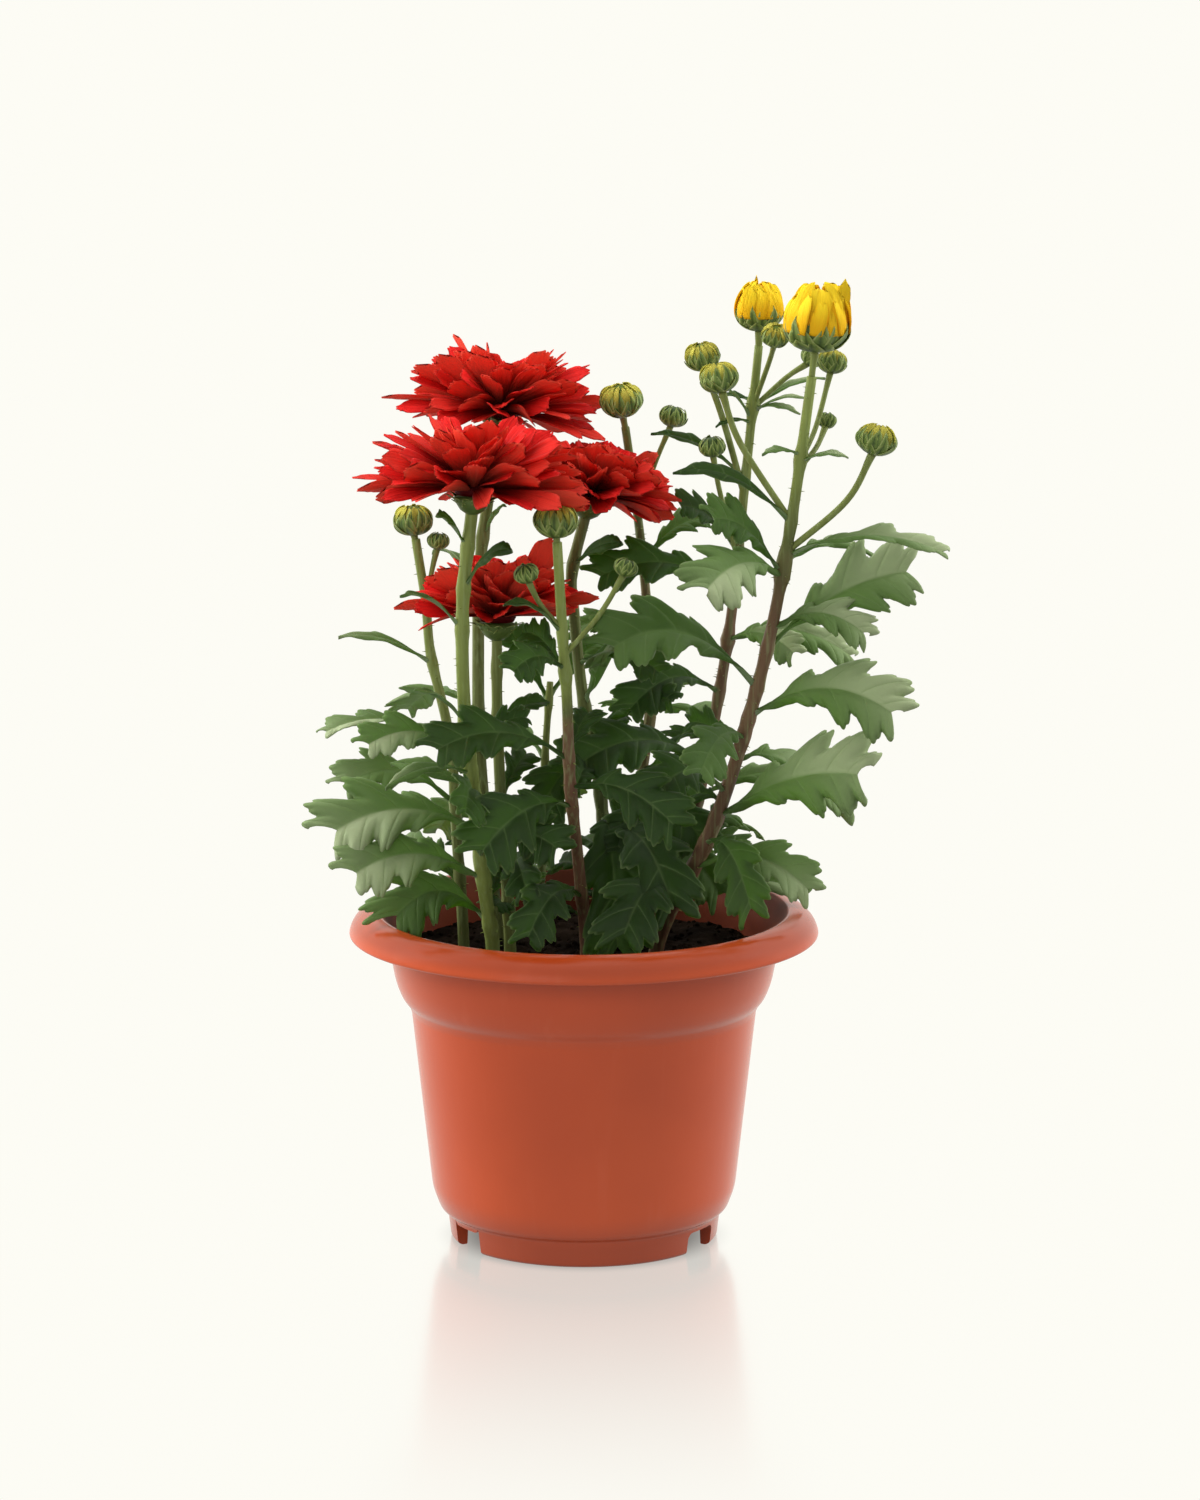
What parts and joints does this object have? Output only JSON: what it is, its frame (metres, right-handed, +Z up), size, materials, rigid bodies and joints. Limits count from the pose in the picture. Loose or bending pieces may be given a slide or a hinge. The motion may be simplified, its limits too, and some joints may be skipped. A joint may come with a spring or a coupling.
{
  "type": "pot chrysanthemum",
  "caption": "Potted chrysanthemum: upright leafy stems with red double blooms, yellow and green buds, in soil in a round rimmed plastic pot.",
  "frame": {"origin": "on the floor at the pot's axis, at the centre of the pot's flat base", "axes": "+Z up along the pot's axis, -Y towards the viewer of the picture, +X to the viewer's right"},
  "size_m": [0.1812, 0.1454, 0.2907],
  "materials": {
    "pot_plastic": "semi-gloss moulded terracotta-orange plastic",
    "soil": "dark crumbly potting soil",
    "leaves": "matt dark green leaves and stems",
    "red_petals": "velvety deep red petals",
    "yellow_petals": "soft golden yellow petals",
    "bud_petals": "pale yellow-green folded petals"
  },
  "bodies": {
    "root": {"bloom_front": "red_petals", "bloom_low": "red_petals", "bloom_right": "red_petals", "bloom_top": "red_petals", "bud_back_right_1": "yellow_petals", "bud_back_right_2": "bud_petals", "bud_back_right_4": "bud_petals", "bud_far_left_1": "bud_petals", "bud_far_right_1": "yellow_petals", "bud_far_right_2": "bud_petals", "bud_far_right_3": "bud_petals", "bud_far_right_5": "bud_petals", "bud_front_middle_1": "bud_petals", "bud_middle_right_1": "bud_petals", "pot": "pot_plastic", "shoot_back": "leaves", "soil": "soil", "stem_back_left": "leaves", "stem_back_right": "leaves", "stem_far_left": "leaves", "stem_far_right": "leaves", "stem_front_left": "leaves", "stem_front_middle": "leaves", "stem_left_middle": "leaves", "stem_middle_back": "leaves", "stem_middle_right": "leaves"}
  },
  "joints": []
}
